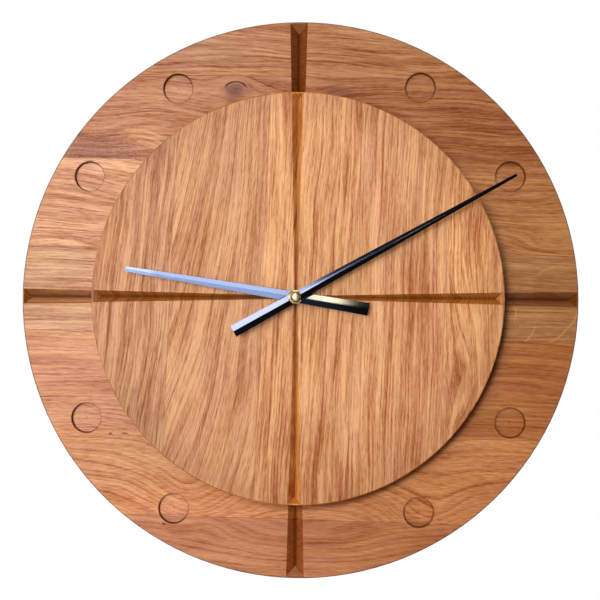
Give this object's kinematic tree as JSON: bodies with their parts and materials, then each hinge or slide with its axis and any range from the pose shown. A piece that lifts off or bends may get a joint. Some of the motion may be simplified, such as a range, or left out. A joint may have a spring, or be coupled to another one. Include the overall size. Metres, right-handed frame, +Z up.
{
  "type": "wooden wall clock",
  "caption": "Round oak wall clock of glued boards with a raised centre disc, pocket and groove hour marks, ridged black hands and a battery quartz movement behind.",
  "frame": {"origin": "hanging point: the top of the keyhole slot on the clock's back plane, where it touches the wall", "axes": "+Z up, the dial faces -Y and the wall is at +Y, +X to the right as seen from the front; the hands' axis lies 134.25 mm below the origin"},
  "size_m": [0.4, 0.0487, 0.4001],
  "materials": {
    "dial_oak_1": "oiled oak",
    "dial_oak_2": "oiled oak",
    "dial_oak_3": "oiled oak",
    "dial_oak_4": "oiled oak",
    "dial_oak_5": "oiled oak",
    "dial_oak_6": "oiled oak",
    "dial_oak_7": "oiled oak",
    "raised_oak_1": "oiled oak",
    "raised_oak_2": "oiled oak",
    "raised_oak_3": "oiled oak",
    "raised_oak_4": "oiled oak",
    "raised_oak_5": "oiled oak",
    "zinc_steel": "zinc plated",
    "black_plastic": "fine satin",
    "white_plastic": "satin",
    "rubber": "matte",
    "brass": "polished",
    "magnet": "plastic-bonded ferrite",
    "copper": "enamelled copper wire",
    "green_board": "circuit laminate",
    "resin": "cast resin",
    "battery_jacket": "plain printed jacket",
    "black_lacquer": "glossy black lacquer"
  },
  "bodies": {
    "clock_case": {"dial_board_1": "dial_oak_1", "dial_board_2": "dial_oak_2", "dial_board_3": "dial_oak_3", "dial_board_4": "dial_oak_4", "dial_board_5": "dial_oak_5", "dial_board_6": "dial_oak_6", "dial_board_7": "dial_oak_7", "raised_board_1": "raised_oak_1", "raised_board_2": "raised_oak_2", "raised_board_3": "raised_oak_3", "raised_board_4": "raised_oak_4", "raised_board_5": "raised_oak_5", "hanger_plate": "zinc_steel", "hanger_screw_left": "zinc_steel", "hanger_screw_right": "zinc_steel", "movement_front_case": "black_plastic", "movement_back_cover": "black_plastic", "middle_plate": "white_plastic", "rubber_washer": "rubber", "centre_bush": "brass", "fixing_nut": "brass", "stator": "zinc_steel", "coil_core": "zinc_steel", "coil_bobbin": "white_plastic", "coil_winding": "copper", "circuit_board": "green_board", "quartz_crystal": "zinc_steel", "chip_drop": "resin", "battery": "battery_jacket", "positive_contact": "zinc_steel", "negative_contact": "zinc_steel"},
    "minute_hand_arbor": {"centre_arbor": "brass", "minute_hand": "black_lacquer", "minute_hand_nut": "brass"},
    "hour_hand_tube": {"hour_wheel": "white_plastic", "hour_hand": "black_lacquer", "hour_hand_bush": "brass"},
    "minute_wheel_body": {"minute_wheel": "white_plastic"},
    "third_wheel_body": {"third_wheel": "white_plastic"},
    "second_wheel_body": {"second_wheel": "white_plastic"},
    "fifth_wheel_body": {"fifth_wheel": "white_plastic"},
    "rotor_body": {"rotor": "magnet"},
    "setting_knob_body": {"setting_knob": "white_plastic"}
  },
  "joints": [
    {"name": "minute_hand_spin", "type": "hinge", "parent": "clock_case", "child": "minute_hand_arbor", "pos_m": [0, -0.0448, -0.13425], "axis": [0, 1, 0], "continuous": true},
    {"name": "hour_hand_spin", "type": "hinge", "parent": "clock_case", "child": "hour_hand_tube", "pos_m": [0, -0.0415, -0.13425], "axis": [0, 1, 0], "continuous": true},
    {"name": "minute_wheel_spin", "type": "hinge", "parent": "clock_case", "child": "minute_wheel_body", "pos_m": [0.009, -0.014, -0.13425], "axis": [0, 1, 0], "continuous": true},
    {"name": "third_wheel_spin", "type": "hinge", "parent": "clock_case", "child": "third_wheel_body", "pos_m": [-0.00764, -0.0109, -0.12661], "axis": [0, 1, 0], "continuous": true},
    {"name": "second_wheel_spin", "type": "hinge", "parent": "clock_case", "child": "second_wheel_body", "pos_m": [0, -0.008, -0.13425], "axis": [0, 1, 0], "continuous": true},
    {"name": "fifth_wheel_spin", "type": "hinge", "parent": "clock_case", "child": "fifth_wheel_body", "pos_m": [0.0042, -0.0093, -0.12698], "axis": [0, 1, 0], "continuous": true},
    {"name": "rotor_spin", "type": "hinge", "parent": "clock_case", "child": "rotor_body", "pos_m": [0.00929, -0.0068, -0.12188], "axis": [0, 1, 0], "continuous": true},
    {"name": "setting_knob_spin", "type": "hinge", "parent": "clock_case", "child": "setting_knob_body", "pos_m": [0.01679, -0.008, -0.13875], "axis": [0, 1, 0], "continuous": true}
  ],
  "couplings": [
    {"joint": "hour_hand_spin", "follows": "minute_hand_spin", "ratio": 0.083333},
    {"joint": "minute_wheel_spin", "follows": "minute_hand_spin", "ratio": -0.33333},
    {"joint": "setting_knob_spin", "follows": "minute_hand_spin", "ratio": 1},
    {"joint": "third_wheel_spin", "follows": "minute_hand_spin", "ratio": -8},
    {"joint": "second_wheel_spin", "follows": "minute_hand_spin", "ratio": 60},
    {"joint": "fifth_wheel_spin", "follows": "minute_hand_spin", "ratio": -360},
    {"joint": "rotor_spin", "follows": "minute_hand_spin", "ratio": 1800}
  ]
}
